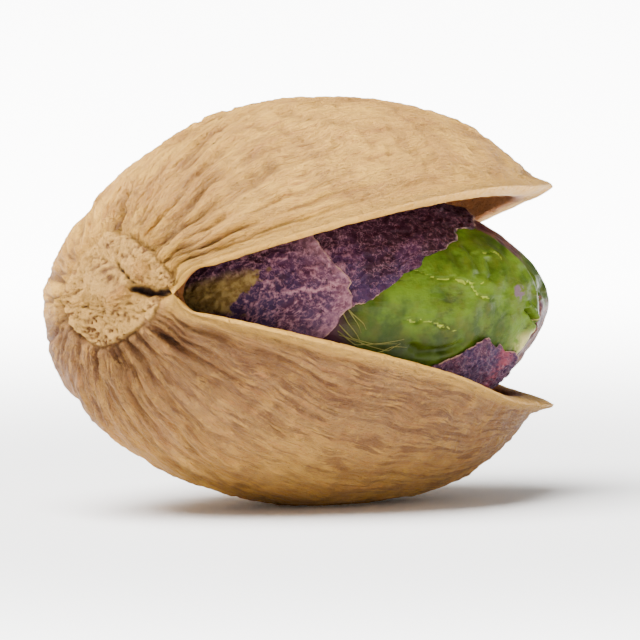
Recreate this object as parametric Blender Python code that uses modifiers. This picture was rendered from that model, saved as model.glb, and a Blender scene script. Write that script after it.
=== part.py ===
"""A roasted pistachio in its split shell, lying on a table.

Metres, +Z up. The nut's long axis runs along X from the stem end to the tip, and the wide side of its
gape faces -Y. The origin is the middle of the small flat spot under the lower valve, on the table.

The shell grew as one piece: two valves, still joined round the stem end. The kernel is a separate seed,
and what is left of its papery skin lies on it in four torn pieces.
"""

from math import cos, exp, hypot, pi, radians, sin, tan

import bmesh
import bpy
from mathutils import Matrix, Vector

MM = 0.001

# Shell, closed: two half spheroids that meet where the nut is widest.
NUT_LENGTH = 22.2 * MM
WIDEST_AT = 10.9 * MM  # from the stem end
HALF_WIDTH = 6.4 * MM  # across, in the plane of the sutures
UPPER_DEPTH = 6.35 * MM
LOWER_DEPTH = 6.8 * MM
STEM_POWERS = (1.1, 0.86)  # in depth, upper and lower: 1 is a round end, and more is more pointed
TIP_POWERS = (1.3, 1.03, 0.96)  # the same at the tip: across, then in depth, upper and lower
BASE_SAG = 0.45 * MM  # how far the stem end hangs below the plane of the sutures
BEAK_LENGTH = 0.9 * MM  # part of the nut's length
BEAK_SPREAD = (1.6 * MM, 0.8 * MM)  # how fast the beak ends across and in depth
BEAK_RISE = (0.2 * MM, 0.22 * MM)  # each valve's tip turns outwards, upper and lower
BEAK_REACH = 0.1  # share of the tip half that turns
TIP_SLIP = 0.2 * MM  # the upper valve has slid this far towards the tip, and the lower one back

# Wall.
WALL = 0.95 * MM
TIP_WALL = 0.9 * MM  # behind the beak
STEM_WALL = 1.3 * MM  # thicker under the stem scar

# Gape: each valve swings about a slanting line, so the near suture gapes wide and the far one little.
HINGE_AT = 7.2 * MM  # where that line crosses the long axis, from the stem end
VALVE_PITCH = radians(13.2)
VALVE_ROLL = radians(12.2)
BEND_REACH = 1.9 * MM  # the shell bends over this much opening on each side of the line
BEND_SPREAD = 0.3  # the bend is spread wider up the side of a valve, by this share of the height
SPLIT_GAPS = (0.5 * MM, 0.65 * MM)  # both edges are worn back this far, upper and lower
SPLIT_END_GAP = 0.4 * MM  # and the upper one more at the end of the split
SPLIT_END_REACH = (0.3 * MM, 1.0 * MM)  # swing over which the split opens, and over which that ends
SPLIT_END_FADE = 0.9 * MM  # height over the edge at which this wear no longer shows
RIM_DIP = 0.45 * MM  # the lower valve's near rim dips on its way to the tip
RIM_DIP_AT = (0.72, 0.25)  # where, and over how much, of the tip half
RIM_DIP_SIDE = 2.0 * MM  # how far from the middle it is full
RIM_DIP_FADE = 2.5 * MM  # height over the edge at which it no longer shows

# How the nut lies.
LIE_PITCH = radians(2.0)  # tip down
LIE_ROLL = radians(8.5)  # near side up
FLAT_DEPTH = 0.16 * MM  # rubbed off where it rests

# Stem scar: a rough patch on the near side of the stem end, a little sunk.
SCAR_AT = Vector((-0.91, -0.4, 0.07)).normalized()
SCAR_RADIUS = radians(20)
SCAR_SINK = 0.2 * MM

# Kernel, in its own frame: X along it, origin where it is widest.
KERNEL_PLACE = Vector((11.9, -0.4, -0.5)) * MM  # in the nut's frame
KERNEL_YAW = radians(-9)  # its tip turns towards the gape
KERNEL_STEM_LENGTH = 7.4 * MM
KERNEL_TIP_LENGTH = 9.3 * MM
KERNEL_HALF_WIDTH = 4.5 * MM
KERNEL_TOP = 4.7 * MM
KERNEL_BELLY = 4.9 * MM
KERNEL_TIP_POWER = 1.2  # as TIP_POWERS
SEAM_AT = -0.42  # where the two halves of the seed meet, across it, as a share of its half width
SEAM_HALF_WIDTH = 0.09
SEAM_DEPTH = 0.3 * MM

# Skin.
SKIN_GAP = 0.1 * MM
SKIN_THICK = 0.14 * MM
SKIN_WAVE = 0.02  # the torn ends swing this share of the kernel's length
SKIN_WAVES = 2.5

SMALL = 1e-9

# Mesh fineness: steps round a section, and steps from end to end.
SHELL_STEPS = (44, 30)
KERNEL_STEPS = (32, 20)
SKIN_STEPS = (11, 9)


def clear_scene():
    for obj in list(bpy.data.objects):
        bpy.data.objects.remove(obj)


def new_collection(name):
    collection = bpy.data.collections.new(name)
    bpy.context.scene.collection.children.link(collection)
    return collection


def make_material(name, color, roughness):
    material = bpy.data.materials.new(name)
    material.use_nodes = True
    shader = material.node_tree.nodes["Principled BSDF"]
    shader.inputs["Base Color"].default_value = (*color, 1)
    shader.inputs["Roughness"].default_value = roughness
    shader.inputs["Metallic"].default_value = 0
    return material


def object_from(bm, name, collection, material):
    mesh = bpy.data.meshes.new(name)
    bm.to_mesh(mesh)
    bm.free()
    mesh.shade_smooth()
    mesh.materials.append(material)
    obj = bpy.data.objects.new(name, mesh)
    collection.objects.link(obj)
    return obj


def lying_sphere(bm, steps):
    """A unit sphere with its poles on the X axis, stem end at -X."""
    upright_to_lying = Matrix.Rotation(pi / 2, 4, "Y")
    return bmesh.ops.create_uvsphere(
        bm, u_segments=steps[0], v_segments=steps[1], radius=1, matrix=upright_to_lying
    )["verts"]


# Shell


def closed_point(direction, wall, stem_wall, tip_wall):
    """(x, y, height over the suture plane) on the closed nut, this far under its outer surface."""
    ring = max(SMALL, hypot(direction.y, direction.z))
    depth, stem_power, tip_power = (
        (UPPER_DEPTH, STEM_POWERS[0], TIP_POWERS[1])
        if direction.z > 0
        else (LOWER_DEPTH, STEM_POWERS[1], TIP_POWERS[2])
    )
    if direction.x < 0:
        x = WIDEST_AT + direction.x * (WIDEST_AT - stem_wall)
        across, deep = 1, ring ** (stem_power - 1)
    else:
        x = WIDEST_AT + direction.x * (NUT_LENGTH - BEAK_LENGTH - WIDEST_AT - tip_wall)
        across, deep = ring ** (TIP_POWERS[0] - 1), ring ** (tip_power - 1)
    y = direction.y * across * (HALF_WIDTH - wall)
    height = abs(direction.z) * deep * (depth - wall)
    if direction.x > 0 and not wall:
        off = hypot(y / BEAK_SPREAD[0], height / BEAK_SPREAD[1])
        x += BEAK_LENGTH * exp(-(off**2))
    return x, y, height


def swing_at(x, y):
    """How far a valve has swung off the suture plane here. Below 0 is behind the hinge line."""
    return tan(VALVE_PITCH) * (x - HINGE_AT) - tan(VALVE_ROLL) * y


def smooth(share):
    share = min(1, max(0, share))
    return share * share * (3 - 2 * share)


def wear(swing, height, side):
    """How far a valve's edge is worn back where the valve has swung this far."""
    opening, ending = SPLIT_END_REACH
    short = min(1, max(0, 1 - swing / opening))
    gap = SPLIT_GAPS[1] if side < 0 else SPLIT_GAPS[0] + SPLIT_END_GAP * exp(-max(0, swing) / ending)
    return gap * (1 - short**2) ** 0.5 * exp(-height / SPLIT_END_FADE)


def rim_dip(direction, y, height):
    """How far the lower valve's near rim hangs below the plane it swung to."""
    at, over = RIM_DIP_AT
    fade = exp(-(((direction.x - at) / over) ** 2) - height / RIM_DIP_FADE)
    return RIM_DIP * fade * smooth(-y / RIM_DIP_SIDE)


def split_gap(x, y, height, side):
    """How far a valve has moved off the suture plane here, at this height over its edge."""
    swing = swing_at(x, y)
    return (swing + hypot(swing, BEND_SPREAD * height)) / 2 + wear(swing, height, side)


def turn_share(x, y):
    """The share of its full turn that a valve has made here: 0 at the stem end, 1 on the open part."""
    return smooth((swing_at(x, y) / BEND_REACH + 1) / 2)


def shell_point(direction, side, wall=0, stem_wall=0, tip_wall=0):
    """The point of the open shell in this direction. side is 1 on the upper valve, -1 on the lower one."""
    x, y, height = closed_point(direction, wall, stem_wall, tip_wall)
    share = turn_share(x, y)
    valve_up = Vector((-tan(VALVE_PITCH) * share, tan(VALVE_ROLL) * share, 1)).normalized()
    point = Vector((x, y, split_gap(x, y, height, side) if side else 0)) + height * valve_up
    if direction.x > 0:
        rise = BEAK_RISE[0] if side > 0 else BEAK_RISE[1]
        point.x += side * TIP_SLIP * direction.x**2
        point.z += rise * exp(-(((1 - direction.x) / BEAK_REACH) ** 2))
        if side < 0:
            point.z += rim_dip(direction, y, height)
    else:
        point.z -= side * BASE_SAG * direction.x**2
    if side == 0:
        return Vector((x, y, -BASE_SAG * direction.x**2))
    return Vector((point.x, point.y, side * point.z))


def split_sutures(bm, verts):
    """Parts the two valves from the tip back to where the shell is still whole."""

    def gapes(vert):
        x, y, _ = closed_point(vert.co, 0, 0, 0)
        return swing_at(x, y) > 0

    on_suture = {v for v in verts if abs(v.co.z) < 1e-5}
    split = [e for e in bm.edges if set(e.verts) <= on_suture and any(map(gapes, e.verts))]
    bmesh.ops.split_edges(bm, edges=split)


def side_of(vert):
    """1 or -1 for the valve that this point is on, or 0 on the whole part of a suture."""
    heights = [face.calc_center_median().z for face in vert.link_faces]
    if min(heights) > 0:
        return 1
    return -1 if max(heights) < 0 else 0


def scar_sink(direction):
    """How far, and which way, the stem scar is sunk in this direction."""
    off = SCAR_AT.angle(direction) / SCAR_RADIUS
    return SCAR_SINK * (1 - off**6) * SCAR_AT if off < 1 else Vector()


def build_shell(collection, material):
    bm = bmesh.new()
    split_sutures(bm, lying_sphere(bm, SHELL_STEPS))
    sides = {v: side_of(v) for v in bm.verts}
    inner = bmesh.ops.duplicate(bm, geom=bm.verts[:] + bm.edges[:] + bm.faces[:])
    inner_of = {a: b for a, b in inner["vert_map"].items() if a in sides}
    for vert, side in sides.items():
        direction = vert.co.copy()
        side = side or (0 if abs(direction.z) < 1e-5 else (1 if direction.z > 0 else -1))
        vert.co = shell_point(direction, side) - scar_sink(direction)
        inner_of[vert].co = shell_point(direction, side, WALL, STEM_WALL, TIP_WALL)
    bmesh.ops.bridge_loops(bm, edges=[e for e in bm.edges if e.is_boundary])
    bmesh.ops.recalc_face_normals(bm, faces=bm.faces)
    return object_from(bm, "shell", collection, material)


# Kernel and skin


def kernel_point(direction, lift=0):
    """The point of the kernel in this direction of its own frame, lifted this far off its surface."""
    length, power = (KERNEL_TIP_LENGTH, KERNEL_TIP_POWER) if direction.x > 0 else (KERNEL_STEM_LENGTH, 1)
    depth = KERNEL_TOP if direction.z > 0 else KERNEL_BELLY
    swell = hypot(direction.y, direction.z) ** (power - 1)
    point = Vector((
        direction.x * length,
        direction.y * swell * KERNEL_HALF_WIDTH,
        direction.z * swell * depth,
    ))
    outward = Vector((
        power * swell * direction.x / length,
        direction.y / KERNEL_HALF_WIDTH,
        direction.z / depth,
    ))
    return point + lift * outward.normalized()


def build_kernel(collection, material):
    bm = bmesh.new()
    lying_sphere(bm, KERNEL_STEPS)
    for across in (-SEAM_HALF_WIDTH, 0, SEAM_HALF_WIDTH):
        cut = bm.verts[:] + bm.edges[:] + bm.faces[:]
        place = Vector((0, SEAM_AT + across, 0))
        bmesh.ops.bisect_plane(bm, geom=cut, plane_co=place, plane_no=(0, 1, 0), dist=1e-4)
    for vert in bm.verts:
        in_seam = abs(vert.co.y - SEAM_AT) < SEAM_HALF_WIDTH / 2
        vert.co = kernel_point(vert.co, -SEAM_DEPTH if in_seam else 0)
    return object_from(bm, "kernel", collection, material)


def skin_direction(along, turn):
    """along is 0 at the kernel's stem end, 1 at its tip. turn is 0 at the gape, 90 degrees on top."""
    polar = pi * along
    return Vector((-cos(polar), -sin(polar) * cos(turn), sin(polar) * sin(turn)))


def build_skin(name, along, turn, slant, collection, material):
    """A torn piece of skin from along[0] to along[1] and between two turns in degrees, its ends wavy.

    slant is how many degrees its lower edge climbs from the stem end to the tip end.
    """
    bm = bmesh.new()
    grid = bmesh.ops.create_grid(bm, x_segments=SKIN_STEPS[0], y_segments=SKIN_STEPS[1], size=0.5)
    for vert in grid["verts"]:
        u, v = vert.co.x + 0.5, vert.co.y + 0.5
        ragged = SKIN_WAVE * sin(2 * pi * SKIN_WAVES * v) * (0.4 + 0.6 * v)
        share = along[0] + (along[1] + ragged - along[0]) * u
        low = turn[0] + slant * u
        vert.co = kernel_point(skin_direction(share, radians(low + (turn[1] - low) * v)), SKIN_GAP)
    skin = object_from(bm, name, collection, material)
    sheet = skin.modifiers.new("Thickness", "SOLIDIFY")
    sheet.thickness = SKIN_THICK
    sheet.offset = 1
    return skin


# Placing


def rub_flat(shell, turn):
    """Cuts off the lowest bit of the turned shell, and gives the middle of the flat face it leaves."""
    bm = bmesh.new()
    bm.from_mesh(shell.data)
    bm.transform(turn)
    table = Vector((0, 0, min(v.co.z for v in bm.verts) + FLAT_DEPTH))
    everything = bm.verts[:] + bm.edges[:] + bm.faces[:]
    bmesh.ops.bisect_plane(bm, geom=everything, plane_co=table, plane_no=(0, 0, -1), clear_outer=True)
    flat = bmesh.ops.holes_fill(bm, edges=[e for e in bm.edges if e.is_boundary])["faces"][0]
    flat.smooth = False
    for edge in flat.edges:
        edge.smooth = False
    middle = flat.calc_center_median_weighted()
    bm.transform(turn.inverted())
    bm.to_mesh(shell.data)
    bm.free()
    return middle


def lie_down(shell):
    """The pose of the nut on the table, with the origin in the middle of its flat spot."""
    turn = Matrix.Rotation(LIE_PITCH, 4, "Y") @ Matrix.Rotation(-LIE_ROLL, 4, "X")
    return Matrix.Translation(-rub_flat(shell, turn)) @ turn


def main():
    clear_scene()
    parts = new_collection("pistachio_in_shell")
    shell_tan = make_material("shell_tan", (0.62, 0.42, 0.22), 0.6)
    kernel_green = make_material("kernel_green", (0.2, 0.3, 0.05), 0.45)
    skin_purple = make_material("skin_purple", (0.12, 0.04, 0.08), 0.6)

    shell = build_shell(parts, shell_tan)
    kernel = build_kernel(parts, kernel_green)
    skins = [
        build_skin("skin_stem", (0.1, 0.44), (-50, 70), 0, parts, skin_purple),
        build_skin("skin_top", (0.466, 0.68), (-4, 110), 36, parts, skin_purple),
        build_skin("skin_low", (0.57, 0.79), (-72, -27), 4, parts, skin_purple),
        build_skin("skin_back", (0.2, 0.86), (130, 235), 0, parts, skin_purple),
    ]

    nut = bpy.data.objects.new("nut", None)
    parts.objects.link(nut)
    nut.matrix_world = lie_down(shell)
    shell.parent = nut
    kernel.parent = nut
    kernel.location = KERNEL_PLACE
    kernel.rotation_euler.z = KERNEL_YAW
    for skin in skins:
        skin.parent = kernel


main()
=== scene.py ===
from math import atan, cos, pi, radians, sin, tan

import bmesh
import bpy
import numpy as np
from mathutils import Matrix, Vector, noise


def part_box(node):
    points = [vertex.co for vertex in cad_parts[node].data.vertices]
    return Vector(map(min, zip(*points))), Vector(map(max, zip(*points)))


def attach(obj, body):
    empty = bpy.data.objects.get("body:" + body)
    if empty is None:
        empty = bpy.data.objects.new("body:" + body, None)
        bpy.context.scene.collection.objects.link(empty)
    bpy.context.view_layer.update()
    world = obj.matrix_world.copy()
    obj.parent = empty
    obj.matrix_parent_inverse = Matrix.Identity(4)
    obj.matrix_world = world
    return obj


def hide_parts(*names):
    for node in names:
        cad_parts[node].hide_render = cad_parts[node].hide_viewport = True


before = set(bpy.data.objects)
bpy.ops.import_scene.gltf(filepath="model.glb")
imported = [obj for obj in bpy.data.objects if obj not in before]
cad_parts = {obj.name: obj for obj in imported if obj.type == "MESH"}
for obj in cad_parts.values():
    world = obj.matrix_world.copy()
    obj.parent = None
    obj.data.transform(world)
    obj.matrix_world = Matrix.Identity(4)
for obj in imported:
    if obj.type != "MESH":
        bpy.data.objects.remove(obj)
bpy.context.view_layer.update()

mm = 0.001
turnEnd = np.pi * 2


def unit(vector):
    vector = np.asarray(vector, float)
    return vector / np.linalg.norm(vector, axis=-1, keepdims=True)


def smooth(value, low, high):
    share = np.clip((value - low) / (high - low), 0, 1)
    return share * share * (3 - 2 * share)


def bell(value, centre, width):
    return np.exp(-(((value - centre) / width) ** 2))


def noiseAt(points, size, seed, octaves=3):
    # seeded fractal noise, about -1 to 1, with its biggest lumps this size
    shifted = (np.asarray(points) / size + seed * 17.31).tolist()
    return np.array([noise.fractal(p, 1.0, 2.0, octaves) for p in shifted])


def lineDistance(points, line):
    # distance to a line of straight bits, and how far along it from 0 to 1
    best = np.full(len(points), 1e9)
    share = np.zeros(len(points))
    count = len(line) - 1
    for i in range(count):
        start, end = np.array(line[i], float), np.array(line[i + 1], float)
        step = end - start
        t = np.clip((points - start) @ step / (step @ step), 0, 1)
        distance = np.linalg.norm(points - start - t[:, None] * step, axis=1)
        closer = distance < best
        best = np.where(closer, distance, best)
        share = np.where(closer, (i + t) / count, share)
    return best, share


def gridFaces(rows, columns, start=0):
    index = start + np.arange(rows * columns).reshape(rows, columns)
    corners = (index[:-1, :-1], index[:-1, 1:], index[1:, 1:], index[1:, :-1])
    return np.stack(corners, -1).reshape(-1, 4)


def newMesh(name, points, faces, values, weld=True):
    # points in mm; values are kept on the mesh under their names, for its material
    mesh = bpy.data.meshes.new(name)
    mesh.from_pydata(points * mm, [], faces)
    for key, value in values.items():
        vector = value.ndim == 2
        layer = mesh.attributes.new(key, "FLOAT_VECTOR" if vector else "FLOAT", "POINT")
        layer.data.foreach_set("vector" if vector else "value", value.astype(np.float32).ravel())
    if weld:
        bm = bmesh.new()
        bm.from_mesh(mesh)
        bmesh.ops.delete(bm, geom=[v for v in bm.verts if not v.link_faces], context="VERTS")
        bmesh.ops.remove_doubles(bm, verts=bm.verts, dist=1e-7)
        bmesh.ops.recalc_face_normals(bm, faces=bm.faces)
        bm.to_mesh(mesh)
        bm.free()
    mesh.shade_smooth()
    return mesh


def readMesh(mesh):
    # points and normals in mm, as arrays
    points = np.zeros(len(mesh.vertices) * 3)
    mesh.vertices.foreach_get("co", points)
    normals = np.zeros(len(mesh.vertices) * 3)
    mesh.vertex_normals.foreach_get("vector", normals)
    return points.reshape(-1, 3) / mm, normals.reshape(-1, 3)


def readValue(mesh, key, vector=False):
    values = np.zeros(len(mesh.vertices) * (3 if vector else 1))
    mesh.attributes[key].data.foreach_get("vector" if vector else "value", values)
    return values.reshape(-1, 3) if vector else values


def writeMesh(mesh, points, values):
    mesh.vertices.foreach_set("co", (points * mm).astype(np.float32).ravel())
    for key, value in values.items():
        vector = value.ndim == 2
        layer = mesh.attributes.new(key, "FLOAT_VECTOR" if vector else "FLOAT", "POINT")
        layer.data.foreach_set("vector" if vector else "value", value.astype(np.float32).ravel())
    mesh.update()


# ---- shell: shape

shell = {
    "length": 22.2,
    "widestAt": 10.9,
    "halfWidth": 6.4,
    "upperDepth": 6.35,
    "lowerDepth": 6.8,
    "stemPowers": (1.1, 0.86),  # in depth, upper and lower
    "tipPowers": (1.3, 1.03, 0.96),  # across, then in depth, upper and lower
    "baseSag": 0.45,
    "beakLength": 0.9,
    "beakSpread": (1.6, 0.8),
    "beakRise": (0.2, 0.22),
    "beakReach": 0.1,
    "tipSlip": 0.2,
    "wall": 0.95,
    "tipWall": 0.9,
    "stemWall": 1.3,
    "hingeAt": 7.2,
    "valvePitch": 13.2,
    "valveRoll": 12.2,
    "bendReach": 1.9,
    "bendSpread": 0.3,
    "splitGaps": (0.5, 0.65),
    "splitEndGap": 0.4,
    "splitEndReach": (0.3, 1.0),
    "splitEndFade": 0.9,
    "rimDip": 0.45,
    "rimDipAt": (0.72, 0.25),
    "rimDipSide": 2.0,
    "rimDipFade": 2.5,
    "liePitch": 2.0,
    "lieRoll": 8.5,
    "flatDepth": 0.16,
    "rimRound": 0.16,
    "rows": 276,
    "outerColumns": 144,
    "innerColumns": 16,
    "rimColumns": 6,
}


def swingAt(x, y):
    return tan(radians(shell["valvePitch"])) * (x - shell["hingeAt"]) - tan(radians(shell["valveRoll"])) * y


def shellPoints(direction, side, wall=0, stemWall=0, tipWall=0):
    # side is 1 for the upper valve and -1 for the lower one
    upper = side > 0
    dx, dy, dz = direction.T
    ring = np.maximum(np.hypot(dy, dz), 1e-9)
    tipward = dx >= 0
    tipLength = shell["length"] - shell["beakLength"] - shell["widestAt"] - tipWall
    x = shell["widestAt"] + dx * np.where(tipward, tipLength, shell["widestAt"] - stemWall)
    across = np.where(tipward, ring ** (shell["tipPowers"][0] - 1), 1)
    tipPower, stemPower = shell["tipPowers"][1 if upper else 2], shell["stemPowers"][0 if upper else 1]
    deep = ring ** (np.where(tipward, tipPower, stemPower) - 1)
    y = dy * across * (shell["halfWidth"] - wall)
    height = np.abs(dz) * deep * ((shell["upperDepth"] if upper else shell["lowerDepth"]) - wall)
    if not wall:
        off = (y / shell["beakSpread"][0]) ** 2 + (height / shell["beakSpread"][1]) ** 2
        x = x + np.where(tipward, shell["beakLength"] * np.exp(-off), 0)
    swing = swingAt(x, y)
    opening, ending = shell["splitEndReach"]
    gap = shell["splitGaps"][0 if upper else 1] + 0 * swing
    if upper:
        gap = gap + shell["splitEndGap"] * np.exp(-np.clip(swing, 0, None) / ending)
    short = np.clip(1 - swing / opening, 0, 1)
    wear = gap * np.sqrt(1 - short**2) * np.exp(-height / shell["splitEndFade"])
    lift = (swing + np.hypot(swing, shell["bendSpread"] * height)) / 2 + wear
    share = smooth(swing, -shell["bendReach"], shell["bendReach"])
    lean = (-tan(radians(shell["valvePitch"])) * share, tan(radians(shell["valveRoll"])) * share)
    up = unit(np.stack([*lean, np.ones_like(x)], -1))
    points = np.stack([x, y, lift], -1) + height[:, None] * up
    beak = shell["beakRise"][0 if upper else 1] * bell(dx, 1, shell["beakReach"])
    if not upper:
        dip = shell["rimDip"] * bell(dx, *shell["rimDipAt"]) * np.exp(-height / shell["rimDipFade"])
        beak = beak + dip * smooth(-y, 0, shell["rimDipSide"])
    points[:, 0] += np.where(tipward, side * shell["tipSlip"] * dx**2 * (swing > 0), 0)
    points[:, 2] += np.where(tipward, beak, -side * shell["baseSag"] * dx**2)
    points[:, 2] *= side
    return points, height, swing


def shellHalf(side):
    rows = shell["rows"] + 1
    polar = np.linspace(0, pi, rows)
    rimShare = (1 - np.cos(np.linspace(0, pi, shell["rimColumns"] + 2)[1:-1])) / 2

    def surface(angles, *walls):
        p, a = np.meshgrid(polar, angles, indexing="ij")
        direction = np.stack([-np.cos(p), -np.sin(p) * np.cos(a), side * np.sin(p) * np.sin(a)], -1)
        flat = direction.reshape(-1, 3)
        points, height, swing = shellPoints(flat, side, *walls)
        shape = (rows, len(angles))
        return points.reshape(*shape, 3), direction, height.reshape(shape), swing.reshape(shape)

    # more columns near the wide side of the gape
    outerAngles = pi * np.linspace(0, 1, shell["outerColumns"] + 1) ** 1.2
    innerAngles = pi * np.linspace(1, 0, shell["innerColumns"] + 1)
    outer = surface(outerAngles)
    inner = surface(innerAngles, shell["wall"], shell["stemWall"], shell["tipWall"])

    def rim(outerColumn, innerColumn, towardsInner):
        shares = rimShare if towardsInner else rimShare[::-1]
        q = shares[None, :, None]
        start, end = outer[0][:, outerColumn][:, None], inner[0][:, innerColumn][:, None]
        points = start * (1 - q) + end * q
        open = np.clip(outer[3][:, outerColumn] / 0.4, 0, 1)[:, None]
        round = shell["rimRound"] * open * np.sqrt(1 - np.abs(2 * shares - 1) ** 3.0)[None]
        points[..., 2] -= side * round
        direction = np.repeat(outer[1][:, outerColumn][:, None], len(shares), 1)
        return points, direction, 0 * round, round + outer[3][:, outerColumn][:, None], np.broadcast_to(shares, round.shape)

    farRim = rim(-1, 0, True)
    nearRim = rim(0, -1, False)
    blocks = [outer, farRim[:4], inner, nearRim[:4]]
    counts = [b[0].shape[1] for b in blocks]
    points, direction, height, swing = (np.concatenate([b[i] for b in blocks], 1) for i in range(4))
    depthIn = np.concatenate(
        [np.zeros((rows, counts[0])), farRim[4], np.ones((rows, counts[2])), nearRim[4]], 1
    )
    columns = points.shape[1]
    # close the loop of columns, then leave out the rim where the suture is still whole
    index = np.arange(rows * columns).reshape(rows, columns)
    looped = np.concatenate([index, index[:, :1]], 1)
    corners = (looped[:-1, :-1], looped[:-1, 1:], looped[1:, 1:], looped[1:, :-1])
    quads = np.stack(corners, -1)
    splits = [swingAt(*outer[0][:, c, :2].T) > 0 for c in (-1, 0)]
    keep = np.ones(quads.shape[:2], bool)
    farStart = counts[0] - 1
    nearStart = counts[0] + counts[1] + counts[2] - 1
    rowOpen = [s[:-1] | s[1:] for s in splits]
    keep[:, farStart : farStart + counts[1] + 1] &= rowOpen[0][:, None]
    keep[:, nearStart : nearStart + counts[3] + 1] &= rowOpen[1][:, None]
    flat = lambda a: a.reshape(-1, *a.shape[2:])
    return flat(points), quads[keep], {
        "direction": flat(direction),
        "heightUp": flat(height),
        "swing": flat(swing),
        "depthIn": flat(depthIn),
        "side": np.full(rows * columns, float(side)),
    }


def shellMesh():
    halves = [shellHalf(1), shellHalf(-1)]
    points = np.concatenate([h[0] for h in halves])
    faces = np.concatenate([halves[0][1], halves[1][1] + len(halves[0][0])])
    values = {k: np.concatenate([h[2][k] for h in halves]) for k in halves[0][2]}
    return newMesh("shell", points, faces, values)


# how the nut lies on the table, and where its middle comes
lie = Matrix.Rotation(radians(shell["liePitch"]), 3, "Y") @ Matrix.Rotation(-radians(shell["lieRoll"]), 3, "X")
lieTurn = np.array(lie)


# ---- shell: surface

surface = {
    "scarCentre": (-0.908, -0.413, 0.071),  # a direction from the middle of the nut, as are the rest
    "scarEdge": [
        (-0.929, -0.189, 0.318), (-0.885, -0.264, 0.384), (-0.846, -0.308, 0.436), (-0.824, -0.395, 0.406),
        (-0.777, -0.541, 0.322), (-0.752, -0.616, 0.236), (-0.734, -0.662, 0.15), (-0.716, -0.695, 0.064),
        (-0.76, -0.649, -0.03), (-0.777, -0.619, -0.115), (-0.809, -0.572, -0.137), (-0.859, -0.47, -0.202),
        (-0.914, -0.344, -0.217), (-0.959, -0.244, -0.145), (-0.986, -0.155, -0.069), (-0.995, -0.09, 0.053),
        (-0.975, -0.123, 0.184), (-0.943, -0.148, 0.299),
    ],
    "scarSink": 0.12,
    "scarGrain": 0.11,
    "core": (-0.893, -0.42, 0.15),  # smooth middle of the scar
    "coreRadius": 8,
    "lumps": 0.1,
    "furrows": 0.4,  # near the scar
    "crinkles": 0.24,
    "dimples": 0.08,
    "lip": 0.05,
    # cracks: directions along each, half its width and its depth in mm
    "cracks": [
        ([(-0.866, -0.426, 0.261), (-0.853, -0.495, 0.168), (-0.831, -0.548, 0.094)], 0.09, 0.4),
        ([(-0.845, -0.53, 0.075), (-0.785, -0.619, 0.024), (-0.715, -0.695, 0.02)], 0.25, 0.75),
        ([(-0.824, -0.395, 0.406), (-0.793, -0.332, 0.511), (-0.725, -0.23, 0.649)], 0.13, 0.5),
        ([(-0.752, -0.627, -0.204), (-0.72, -0.66, -0.22), (-0.688, -0.684, -0.242)], 0.11, 0.25),
        ([(-0.965, -0.26, -0.01), (-0.953, -0.3, -0.02)], 0.09, 0.2),
    ],
    # swellings in the scar: direction, radius and height in mm
    "nubs": [((-0.893, -0.45, 0.0), 0.34, 0.36), ((-0.866, -0.5, 0.035), 0.3, 0.32), ((-0.801, -0.571, 0.177), 0.42, 0.24)],
}
scarMiddle = unit(surface["scarCentre"])


def flowAt(direction):
    # lines that fan out from the scar and meet again at the tip: (which line, how far along it)
    start, end = scarMiddle, np.array([1.0, 0, 0])
    chord = unit(end - start)
    u = unit(np.cross(chord, (0, 0, 1)))
    w = np.cross(chord, u)
    off = direction - start
    around = np.arctan2(off @ w, off @ u)
    along = np.log((np.linalg.norm(off, axis=1) + 0.02) / (np.linalg.norm(direction - end, axis=1) + 0.02))
    return around, along


def scarOffset(direction):
    # 1 on the edge of the scar, less inside it
    around, _ = flowAt(direction)
    edge = unit(surface["scarEdge"])
    edgeAround, _ = flowAt(edge)
    reach = np.arccos(edge @ scarMiddle)
    order = np.argsort(edgeAround)
    radius = np.interp(around, edgeAround[order], reach[order], period=turnEnd)
    return np.arccos(np.clip(direction @ scarMiddle, -1, 1)) / radius


def flowPoints(around, along, count, length):
    return np.stack([np.cos(around) * count, np.sin(around) * count, along * length], -1)


def ridges(points, size, seed, octaves=2):
    # 1 on thin winding ridges, falling to below 0 between them
    return 1 - 3.2 * np.abs(noiseAt(points, size, seed, octaves))


def onShell(direction):
    direction = unit(direction)
    return shellPoints(direction[None], 1 if direction[2] >= 0 else -1)[0][0]


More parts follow.
